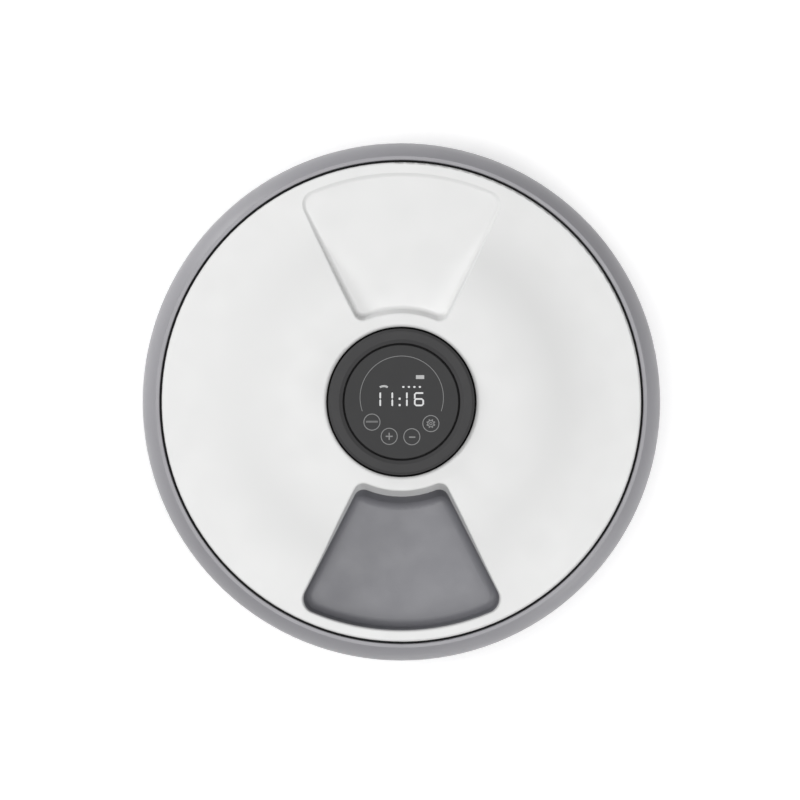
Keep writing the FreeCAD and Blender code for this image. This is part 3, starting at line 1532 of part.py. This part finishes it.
def write(obj):
    """Writes one sub-part in the common frame."""
    shape = obj.Shape
    if shape.isNull() or not shape.isValid() or not shape.Solids:
        raise RuntimeError(f"{obj.Label}: no valid solid")
    shape.exportStep(os.path.join("parts", f"{obj.Label}.step"))
    print(f"{obj.Label:22s} solids {len(shape.Solids):2d}  volume {shape.Volume / 1000:8.2f} cm3")


base_housing()
bottom_cover()
feet()
battery_door()
battery_cells()
cell_contacts()
power_inlet()
lid_seal()
lid()
lock_ring()
ring_retainer()
hub_housing()
display_panel()
boards()
food_tray()
turntable()
rollers()
gear_train()
shafts()
gearbox_plates()
gear_motor()
fasteners()

doc.recompute()
for item in doc.Objects:
    check(item)
os.makedirs("parts", exist_ok=True)
for item in sub_parts:
    write(item)
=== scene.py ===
"""Looks of the carousel pet feeder: materials for every CAD node, the lit signs of the panel, small
printed details, a black ring of painted shade in the gap round the lock ring, a pale studio floor,
soft light and a camera straight above."""

import math

import bmesh
import bpy
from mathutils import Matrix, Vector


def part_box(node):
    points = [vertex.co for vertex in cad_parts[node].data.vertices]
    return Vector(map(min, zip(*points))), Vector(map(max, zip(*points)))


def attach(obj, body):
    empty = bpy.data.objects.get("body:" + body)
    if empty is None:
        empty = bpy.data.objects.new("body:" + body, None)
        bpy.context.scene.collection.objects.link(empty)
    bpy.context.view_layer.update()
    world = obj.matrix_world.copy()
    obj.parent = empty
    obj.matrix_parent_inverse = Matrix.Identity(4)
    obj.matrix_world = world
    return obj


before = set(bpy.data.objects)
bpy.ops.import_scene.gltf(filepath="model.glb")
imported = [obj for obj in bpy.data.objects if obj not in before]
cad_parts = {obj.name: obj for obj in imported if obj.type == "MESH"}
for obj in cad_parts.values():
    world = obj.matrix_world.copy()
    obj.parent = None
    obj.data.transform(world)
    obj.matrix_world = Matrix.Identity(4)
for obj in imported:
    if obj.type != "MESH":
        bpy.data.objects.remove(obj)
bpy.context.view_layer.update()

MM = 0.001
NOISE_ROUGHNESS = 0.55
NOISE_SPAN = (0.3, 0.7)


# ------------------------------------------------------------------ materials


class Finish:
    """A principled material with helpers for the nodes that vary it."""

    def __init__(self, name, roughness=0.5, metallic=0.0, specular=0.5):
        self.material = bpy.data.materials.new(name)
        self.material.use_nodes = True
        self.tree = self.material.node_tree
        self.shader = self.tree.nodes["Principled BSDF"]
        self.shader.inputs["Roughness"].default_value = roughness
        self.shader.inputs["Metallic"].default_value = metallic
        self.shader.inputs["Specular IOR Level"].default_value = specular
        coordinates = self.tree.nodes.new("ShaderNodeTexCoord")
        self.place = coordinates.outputs["Object"]

    def link(self, source, target):
        self.tree.links.new(source, target)

    def noise(self, scale, detail=3.0, stretch=None):
        """Noise over the object's own metres; stretch scales its axes."""
        node = self.tree.nodes.new("ShaderNodeTexNoise")
        node.inputs["Scale"].default_value = scale
        node.inputs["Detail"].default_value = detail
        node.inputs["Roughness"].default_value = NOISE_ROUGHNESS
        place = self.place
        if stretch:
            mapping = self.tree.nodes.new("ShaderNodeMapping")
            mapping.inputs["Scale"].default_value = stretch
            self.link(place, mapping.inputs["Vector"])
            place = mapping.outputs["Vector"]
        self.link(place, node.inputs["Vector"])
        return node.outputs["Fac"]

    def cells(self, scale, randomness=1.0):
        """Distance to the middles of scattered cells."""
        node = self.tree.nodes.new("ShaderNodeTexVoronoi")
        node.inputs["Scale"].default_value = scale
        node.inputs["Randomness"].default_value = randomness
        self.link(self.place, node.inputs["Vector"])
        return node.outputs["Distance"]

    def remap(self, value, low, high):
        """Spreads the usual span of noise over low to high."""
        node = self.tree.nodes.new("ShaderNodeMapRange")
        start, end = NOISE_SPAN
        spans = (("From Min", start), ("From Max", end), ("To Min", low), ("To Max", high))
        for name, number in spans:
            node.inputs[name].default_value = number
        self.link(value, node.inputs["Value"])
        return node.outputs["Result"]

    def tint(self, value, *stops):
        """Colours along a value: (position, (r, g, b)) pairs."""
        ramp = self.tree.nodes.new("ShaderNodeValToRGB")
        elements = ramp.color_ramp.elements
        while len(elements) < len(stops):
            elements.new(0.5)
        for element, (position, colour) in zip(elements, stops):
            element.position = position
            element.color = (*colour, 1.0)
        self.link(value, ramp.inputs["Fac"])
        return ramp.outputs["Color"]

    def colour(self, output):
        self.link(output, self.shader.inputs["Base Color"])

    def rough(self, output):
        self.link(output, self.shader.inputs["Roughness"])

    def bump(self, height, depth, strength=1.0):
        """Relief of a depth in metres."""
        node = self.tree.nodes.new("ShaderNodeBump")
        node.inputs["Strength"].default_value = strength
        node.inputs["Distance"].default_value = depth
        self.link(height, node.inputs["Height"])
        self.link(node.outputs["Normal"], self.shader.inputs["Normal"])


def shade(colour, factor):
    """A colour made lighter or darker by a factor."""
    return tuple(min(1.0, channel * factor) for channel in colour)


def moulded(name, colour, roughness, grain=0.45, depth=0.008, drift=0.03, specular=0.5):
    """Moulded plastic: a fine spark-eroded grain (mm), slow drift of tone and of sheen."""
    finish = Finish(name, roughness, specular=specular)
    slow = finish.noise(18.0, 2.0)
    darker, lighter = shade(colour, 1 - drift), shade(colour, 1 + drift)
    finish.colour(finish.tint(slow, (0.35, darker), (0.65, lighter)))
    finish.rough(finish.remap(finish.noise(55.0, 4.0), roughness - 0.05, roughness + 0.05))
    finish.bump(finish.noise(1.0 / (grain * MM), 2.0), depth * MM)
    return finish.material


def brushed(name, colour, roughness, stretch=(1.0, 1.0, 30.0), scale=900.0):
    """Turned or drawn metal with fine lines."""
    finish = Finish(name, roughness, metallic=1.0)
    lines = finish.noise(scale, 3.0, stretch=stretch)
    finish.colour(finish.tint(lines, (0.3, shade(colour, 0.88)), (0.7, shade(colour, 1.08))))
    finish.rough(finish.remap(lines, roughness - 0.08, roughness + 0.1))
    finish.bump(lines, 0.004 * MM)
    return finish.material


def soft_rubber(name, colour):
    """Matt rubber with a fine pebbled skin."""
    finish = Finish(name, 0.78, specular=0.35)
    slow = finish.noise(120.0, 3.0)
    finish.colour(finish.tint(slow, (0.35, shade(colour, 0.8)), (0.65, shade(colour, 1.25))))
    finish.rough(finish.remap(slow, 0.7, 0.88))
    finish.bump(finish.cells(2600.0), 0.02 * MM, 0.6)
    return finish.material


def glass_panel(name):
    """The touch panel: dark, even, with the faintest ripple and handling marks in its sheen."""
    finish = Finish(name, 0.5, specular=0.08)
    slow = finish.noise(40.0, 2.0)
    darker, lighter = (0.0535, 0.0535, 0.0545), (0.0555, 0.0555, 0.0565)
    finish.colour(finish.tint(slow, (0.35, darker), (0.65, lighter)))
    finish.rough(finish.remap(finish.noise(160.0, 5.0), 0.47, 0.53))
    finish.bump(finish.noise(3200.0, 2.0), 0.003 * MM)
    return finish.material


def circuit_board(name):
    """Solder resist over faint tracks, with tinned pads."""
    finish = Finish(name, 0.35)
    tracks = finish.cells(260.0, 0.2)
    tin, resist, track = (0.62, 0.6, 0.52), (0.012, 0.11, 0.045), (0.016, 0.17, 0.07)
    finish.colour(finish.tint(tracks, (0.0, tin), (0.14, tin), (0.18, resist), (0.6, track)))
    finish.rough(finish.remap(finish.noise(500.0), 0.28, 0.42))
    finish.bump(tracks, 0.05 * MM)
    return finish.material


def cell_sleeve(name):
    """A printed foil sleeve: dark blue with a fine grain."""
    finish = Finish(name, 0.28, metallic=0.6)
    grain = finish.noise(700.0, 3.0, stretch=(1.0, 0.05, 1.0))
    finish.colour(finish.tint(grain, (0.3, (0.05, 0.09, 0.2)), (0.7, (0.075, 0.13, 0.28))))
    finish.rough(finish.remap(grain, 0.22, 0.36))
    finish.bump(finish.noise(900.0), 0.004 * MM)
    return finish.material


def lit(name, colour, strength, body):
    """A lit or printed sign: an ink of a grey level that glows evenly with a slight mottle."""
    finish = Finish(name, 0.45, specular=0.3)
    slow = finish.noise(900.0, 2.0)
    finish.colour(finish.tint(slow, (0.3, (0.94 * body,) * 3), (0.7, (1.04 * body,) * 3)))
    glow = finish.tint(slow, (0.3, shade(colour, 0.93)), (0.7, colour))
    finish.link(glow, finish.shader.inputs["Emission Color"])
    finish.shader.inputs["Emission Strength"].default_value = strength
    return finish.material


WHITE = (0.815, 0.817, 0.813)
GREY = (0.318, 0.3135, 0.334)
CHARCOAL = (0.062, 0.0615, 0.063)
TRAY_GREY = (0.23, 0.23, 0.25)
# painted shade: near-black colour of the ring put into the shadowed gap round the lock ring
PAINTED_SHADE_BLACK = (0.006, 0.006, 0.006)
COMPONENT_BLACK = (0.022, 0.022, 0.024)
CHASSIS_BLACK = (0.03, 0.03, 0.032)
RUBBER_BLACK = (0.026, 0.026, 0.027)
ACETAL = (0.76, 0.74, 0.66)
GLOW = (0.95, 0.97, 1.0)

FINISHES = {
    "white": moulded("WhiteShell", WHITE, 0.42, grain=0.5, depth=0.006, drift=0.003),
    "grey": moulded("GreyShell", GREY, 0.4, grain=0.5, drift=0.012),
    "tray": moulded("GreyTray", TRAY_GREY, 0.46, grain=0.6, depth=0.01, drift=0.005),
    "charcoal": moulded("Charcoal", CHARCOAL, 0.52, grain=0.4, drift=0.02, specular=0.12),
    "panel": glass_panel("TouchPanel"),
    "chassis": moulded("Chassis", CHASSIS_BLACK, 0.5, grain=0.8, depth=0.02, drift=0.08),
    "acetal": moulded("Acetal", ACETAL, 0.35, grain=1.2, depth=0.006),
    "steel": brushed("Steel", (0.58, 0.58, 0.6), 0.3),
    "zinc": brushed("ZincPlate", (0.66, 0.67, 0.7), 0.34, stretch=(1.0, 1.0, 1.0), scale=1500.0),
    "bronze": brushed("Bronze", (0.56, 0.38, 0.18), 0.38),
    "nickel": brushed("NickelStrip", (0.7, 0.69, 0.66), 0.28, stretch=(1.0, 20.0, 1.0)),
    "rubber": soft_rubber("Rubber", RUBBER_BLACK),
    # painted shade: the near-black ring material that darkens the gap round the lock ring
    "painted_shade": moulded("PaintedShade", PAINTED_SHADE_BLACK, 0.95, grain=0.15, depth=0.04, drift=0.2, specular=0.05),
    "board": circuit_board("CircuitBoard"),
    "component": moulded("Component", COMPONENT_BLACK, 0.45, grain=0.3, depth=0.01, drift=0.15),
    "cell": cell_sleeve("CellSleeve"),
}

NODE_FINISH = {
    "lid": "white",
    "base_housing": "grey",
    "bottom_cover": "grey",
    "battery_door": "grey",
    "food_tray": "tray",
    "meal_cups": "tray",
    "roller_track": "tray",
    "lock_ring": "charcoal",
    "ring_retainer": "charcoal",
    "hub_housing": "charcoal",
    "display_panel": "panel",
    "turntable": "chassis",
    "gearbox_lower_plate": "chassis",
    "gearbox_upper_plate": "chassis",
    "lid_seal": "rubber",
    "main_board": "board",
    "power_board": "board",
    "position_sensor": "board",
    "led_display": "component",
    "board_components": "component",
    "speaker": "component",
    "touch_springs": "steel",
    "battery_springs": "nickel",
    "battery_contacts": "nickel",
    "power_inlet": "steel",
    "gear_motor": "steel",
    "roller_pins": "steel",
    "index_magnets": "nickel",
    "lower_bush": "bronze",
    "upper_bush": "bronze",
}
PREFIX_FINISH = {
    "foot_": "rubber",
    "battery_cell_": "cell",
    "roller_": "acetal",
}


def finish_for(node):
    """The name of a CAD node's finish, from its own name; bare shafts and pins are steel."""
    if node in NODE_FINISH:
        return NODE_FINISH[node]
    for prefix, finish in PREFIX_FINISH.items():
        if node.startswith(prefix):
            return finish
    if node.endswith("_screws"):
        return "zinc"
    if node.endswith(("_gear", "_pinion")):
        return "acetal"
    return "steel"


def dress_nodes():
    """Gives every CAD node its material."""
    for node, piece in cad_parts.items():
        piece.data.materials.clear()
        piece.data.materials.append(FINISHES[finish_for(node)])


# ------------------------------------------------------------------ pieces


def add_piece(name, mesh, finish, body):
    """A visual piece that rides on a CAD body, with the material it is given."""
    piece = bpy.data.objects.new(name, mesh)
    bpy.context.scene.collection.objects.link(piece)
    piece.data.materials.append(finish)
    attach(piece, body)


class Print:
    """Thin raised signs on a flat face, all in millimetres; made into one mesh."""

    def __init__(self, bottom, thickness):
        self.mesh = bmesh.new()
        self.bottom = bottom
        self.top = bottom + thickness

    def plate(self, outline):
        """A closed outline as a thin solid."""
        low = [self.mesh.verts.new((x * MM, y * MM, self.bottom * MM)) for x, y in outline]
        high = [self.mesh.verts.new((x * MM, y * MM, self.top * MM)) for x, y in outline]
        self.mesh.faces.new(high)
        self.mesh.faces.new(list(reversed(low)))
        count = len(outline)
        for i in range(count):
            j = (i + 1) % count
            self.mesh.faces.new((low[i], low[j], high[j], high[i]))

    def strip(self, points, width, closed=False):
        """A line of even width through the points, with square ends."""
        count = len(points)
        left, right = [], []
        for i, (x, y) in enumerate(points):
            before = points[i - 1] if i > 0 or closed else points[i]
            after = points[(i + 1) % count] if i < count - 1 or closed else points[i]
            dx, dy = after[0] - before[0], after[1] - before[1]
            length = math.hypot(dx, dy)
            nx, ny = -dy / length * width / 2, dx / length * width / 2
            left.append((x + nx, y + ny))
            right.append((x - nx, y - ny))
        verts = {}
        for side, places in (("left", left), ("right", right)):
            for level, z in (("low", self.bottom), ("high", self.top)):
                verts[side, level] = [
                    self.mesh.verts.new((x * MM, y * MM, z * MM)) for x, y in places
                ]
        spans = count if closed else count - 1
        for i in range(spans):
            j = (i + 1) % count
            ring = [
                (verts["left", "high"], verts["right", "high"]),
                (verts["right", "high"], verts["right", "low"]),
                (verts["right", "low"], verts["left", "low"]),
                (verts["left", "low"], verts["left", "high"]),
            ]
            for first, second in ring:
                self.mesh.faces.new((first[i], second[i], second[j], first[j]))
        if not closed:
            for i, flip in ((0, False), (count - 1, True)):
                end = [
                    verts["left", "high"][i],
                    verts["left", "low"][i],
                    verts["right", "low"][i],
                    verts["right", "high"][i],
                ]
                self.mesh.faces.new(list(reversed(end)) if flip else end)

    def arc(self, x, y, radius, start, end, width, steps):
        """A line round a middle, from one angle to another in degrees."""
        points = []
        for i in range(steps + 1):
            angle = math.radians(start + (end - start) * i / steps)
            points.append((x + radius * math.cos(angle), y + radius * math.sin(angle)))
        self.strip(points, width)

    def ring(self, x, y, radius, width, steps=72):
        """A closed round line."""
        points = []
        for i in range(steps):
            angle = 2 * math.pi * i / steps
            points.append((x + radius * math.cos(angle), y + radius * math.sin(angle)))
        self.strip(points, width, closed=True)

    def bar(self, x, y, width, height, corner=0.2):
        """A rectangle with round corners about its middle."""
        outline = []
        for sx, sy, start in ((1, 1, 0), (-1, 1, 90), (-1, -1, 180), (1, -1, 270)):
            for step in range(5):
                angle = math.radians(start + 22.5 * step)
                dx = sx * (width / 2 - corner) + corner * math.cos(angle)
                dy = sy * (height / 2 - corner) + corner * math.sin(angle)
                outline.append((x + dx, y + dy))
        self.plate(outline)

    def finish(self, name):
        """The whole print as one mesh, its faces turned outwards."""
        bmesh.ops.recalc_face_normals(self.mesh, faces=self.mesh.faces)
        mesh = bpy.data.meshes.new(name)
        self.mesh.to_mesh(mesh)
        self.mesh.free()
        return mesh


# The panel's print, in millimetres from the middle of the panel.
PRINT_THICKNESS = 0.04
SEGMENT = 1.02
SEGMENT_GAP = 0.16
DIGIT_LOW, DIGIT_WAIST, DIGIT_HIGH = -2.65, 1.8, 5.95
ONES_X = (-13.0, -5.6, 3.35)
COLON_X, COLON_Y = -1.1, (1.95, -1.95)
SIX_LEFT, SIX_RIGHT = 8.2, 13.4
SIX_CORNER = 0.9
MEAL_MARKS_X, MEAL_MARKS_Y = (1.2, 4.6, 8.0, 11.35), 9.2
KEYS = {
    "hold": (-18.1, -12.4),
    "more": (-7.5, -21.15),
    "less": (6.4, -21.4),
    "setup": (18.1, -13.3),
}
KEY_RADIUS = 4.95
GEAR_TEETH = 8

# Size of the black ring of painted shade that fills the shadowed gap round the lock ring.
SHADE_RING_INNER, SHADE_RING_OUTER = 45.02, 46.15
SHADE_RING_BOTTOM, SHADE_RING_TOP = 72.92, 73.2


def upright(sign, x, low, high):
    """One upright segment with pointed ends."""
    half = SEGMENT / 2
    sign.plate(
        [
            (x - half, low + half),
            (x, low),
            (x + half, low + half),
            (x + half, high - half),
            (x, high),
            (x - half, high - half),
        ]
    )


def six(sign):
    """The figure six: a hooked line over a closed loop, with cut corners."""
    left, right, waist = SIX_LEFT, SIX_RIGHT, DIGIT_WAIST
    low, high = DIGIT_LOW + SEGMENT / 2, DIGIT_HIGH - SEGMENT / 2
    bend, cut = 0.8, SIX_CORNER
    hook = [(right, high), (left + bend, high), (left, high - bend), (left, waist + 0.1)]
    loop = [
        (left + cut, waist),
        (right - cut, waist),
        (right, waist - cut),
        (right, low + cut),
        (right - cut, low),
        (left + cut, low),
        (left, low + cut),
        (left, waist - cut),
    ]
    sign.strip(hook, SEGMENT)
    sign.strip(loop, SEGMENT, closed=True)


def clock_digits(top):
    """The time in segments, its colon and the row of four meal marks above it."""
    clock = Print(top, PRINT_THICKNESS)
    for x in ONES_X:
        upright(clock, x, DIGIT_LOW, DIGIT_WAIST - SEGMENT_GAP)
        upright(clock, x, DIGIT_WAIST + SEGMENT_GAP, DIGIT_HIGH)
    for y in COLON_Y:
        clock.bar(COLON_X, y, 1.25, 1.35, 0.3)
    six(clock)
    for x in MEAL_MARKS_X:
        clock.bar(x, MEAL_MARKS_Y, 1.35, 1.1, 0.4)
    return clock.finish("clock_digits")


def status_marks(top):
    """The battery bar and the small arc above the clock."""
    marks = Print(top, PRINT_THICKNESS)
    marks.bar(11.45, 15.25, 5.1, 2.35, 0.15)
    marks.arc(-10.8, 5.3, 4.4, 57, 123, 1.25, 16)
    return marks.finish("status_marks")


def panel_lines(top):
    """The long fine arc, and the touch keys' rings and signs."""
    lines = Print(top, PRINT_THICKNESS)
    lines.arc(0.2, 2.6, 25.6, -19, 199, 0.36, 160)
    for x, y in KEYS.values():
        lines.ring(x, y, KEY_RADIUS, 0.5)
    x, y = KEYS["more"]
    lines.bar(x, y, 4.3, 0.78, 0.2)
    for side in (-1, 1):
        lines.bar(x, y + side * 1.3, 0.78, 1.75, 0.2)
    x, y = KEYS["less"]
    lines.bar(x + 0.2, y - 0.25, 3.9, 0.85, 0.2)
    x, y = KEYS["setup"]
    lines.ring(x, y, 0.75, 0.45, 24)
    lines.ring(x, y, 1.85, 0.5, 40)
    for i in range(GEAR_TEETH):
        angle = 2 * math.pi * (i + 0.5) / GEAR_TEETH
        cos, sin = math.cos(angle), math.sin(angle)
        lines.strip([(x + r * cos, y + r * sin) for r in (2.12, 2.75)], 0.85)
    return lines.finish("panel_lines")


def hold_bar(top):
    """The dim bar that stands for the label of the first key."""
    sign = Print(top, PRINT_THICKNESS)
    x, y = KEYS["hold"]
    sign.bar(x, y + 0.25, 7.4, 1.15, 0.25)
    return sign.finish("key_bar")


def painted_shade_ring():
    """A black ring in the gap between the lock ring and the edge of the lid's hole: painted shade,
    a dark sheet put where the gap only lies in shadow.
    """
    low, high = SHADE_RING_BOTTOM * MM, SHADE_RING_TOP * MM
    inner, foot, outer = SHADE_RING_INNER * MM, (SHADE_RING_OUTER - 0.05) * MM, SHADE_RING_OUTER * MM
    steps = 180
    profile = ((inner, low), (foot, low), (outer, high), (inner, high))
    verts, faces = [], []
    for i in range(steps):
        angle = 2 * math.pi * i / steps
        verts += [(r * math.cos(angle), r * math.sin(angle), z) for r, z in profile]
        start, after = 4 * i, 4 * ((i + 1) % steps)
        for side in range(4):
            other = (side + 1) % 4
            faces.append((start + side, after + side, after + other, start + other))
    mesh = bpy.data.meshes.new("painted_shade_ring")
    mesh.from_pydata(verts, [], faces)
    # painted shade: the ring rides on the lock ring and darkens the shadowed gap
    add_piece("painted_shade_ring", mesh, FINISHES["painted_shade"], "locking_ring")


def panel_signs():
    """The lit clock and marks, and the fine printed arc and keys, on the touch panel."""
    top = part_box("display_panel")[1][2] / MM
    signs = (
        ("clock_digits", clock_digits(top), lit("SignBright", GLOW, 0.22, 0.55)),
        ("status_marks", status_marks(top), lit("SignSoft", GLOW, 0.1, 0.4)),
        ("panel_lines", panel_lines(top), lit("SignLine", GLOW, 0.04, 0.2)),
        ("key_bar", hold_bar(top), lit("SignDim", GLOW, 0.02, 0.13)),
    )
    for name, mesh, finish in signs:
        add_piece(name, mesh, finish, "housing")


# ------------------------------------------------------------------ studio

FLOOR_HALF = 6.0
PAPER_GLOW = 0.35
WORLD_STRENGTH = 0.04
LAMP_TARGET_HEIGHT = 0.05
# Name, azimuth and elevation in degrees, distance and width in metres, power in watts.
LAMPS = (
    ("Overhead", 0, 90, 4.6, 3.2, 121.0),
    ("LeftBox", 180, 38, 1.4, 0.6, 4.5),
    ("LowRearLeft", 135, 14, 1.3, 0.5, 4.5),
    ("FrontRight", 315, 58, 1.6, 0.8, 4.0),
    ("LowFrontRight", 315, 14, 1.3, 0.5, 2.5),
    ("LowRight", 0, 14, 1.3, 0.5, 0.5),
)
CAMERA_HEIGHT = 4.0
FOCUS_HEIGHT = 0.06
SENSOR_WIDTH = 36.0
# The width in view and the middle of the view, in millimetres.
VIEW_WIDTH = 493.44
VIEW_MIDDLE = (-0.8635, 1.1719)


def lamp(name, azimuth, elevation, distance, width, power):
    """A round soft light that faces the feeder; azimuth turns from +X towards +Y, in degrees."""
    light = bpy.data.lights.new(name, "AREA")
    light.shape = "DISK"
    light.size = width
    light.energy = power
    around, up = math.radians(azimuth), math.radians(elevation)
    target = Vector((0.0, 0.0, LAMP_TARGET_HEIGHT))
    level = math.cos(up)
    away = Vector((level * math.cos(around), level * math.sin(around), math.sin(up)))
    holder = bpy.data.objects.new(name, light)
    holder.location = target + away * distance
    holder.rotation_euler = (-away).to_track_quat("-Z", "Y").to_euler()
    bpy.context.scene.collection.objects.link(holder)


def studio():
    """A white paper floor under one wide soft light, with small softboxes round the feeder."""
    size = FLOOR_HALF
    corners = [(-size, -size, 0), (size, -size, 0), (size, size, 0), (-size, size, 0)]
    mesh = bpy.data.meshes.new("floor")
    mesh.from_pydata(corners, [], [(0, 1, 2, 3)])
    floor = bpy.data.objects.new("floor", mesh)
    bpy.context.scene.collection.objects.link(floor)
    paper = Finish("Paper", 0.9, specular=0.1)
    slow = paper.noise(1.4, 2.0)
    paper.colour(paper.tint(slow, (0.3, (0.9, 0.9, 0.9)), (0.7, (0.92, 0.92, 0.92))))
    paper.shader.inputs["Emission Color"].default_value = (1, 1, 1, 1)
    paper.shader.inputs["Emission Strength"].default_value = PAPER_GLOW
    mesh.materials.append(paper.material)

    world = bpy.data.worlds.new("Studio")
    world.use_nodes = True
    background = world.node_tree.nodes["Background"]
    background.inputs["Color"].default_value = (1.0, 1.0, 1.0, 1.0)
    background.inputs["Strength"].default_value = WORLD_STRENGTH
    bpy.context.scene.world = world

    for settings in LAMPS:
        lamp(*settings)


def camera():
    """Straight above, far enough that the walls of the wells show no lean."""
    lens = bpy.data.cameras.new("Camera")
    lens.sensor_width = SENSOR_WIDTH
    lens.lens = SENSOR_WIDTH * (CAMERA_HEIGHT - FOCUS_HEIGHT) / (VIEW_WIDTH * MM)
    lens.clip_end = 50.0
    view = bpy.data.objects.new("Camera", lens)
    view.location = (VIEW_MIDDLE[0] * MM, VIEW_MIDDLE[1] * MM, CAMERA_HEIGHT)
    bpy.context.scene.collection.objects.link(view)
    bpy.context.scene.camera = view


dress_nodes()
painted_shade_ring()
panel_signs()
studio()
camera()
bpy.context.scene.view_settings.view_transform = "Standard"
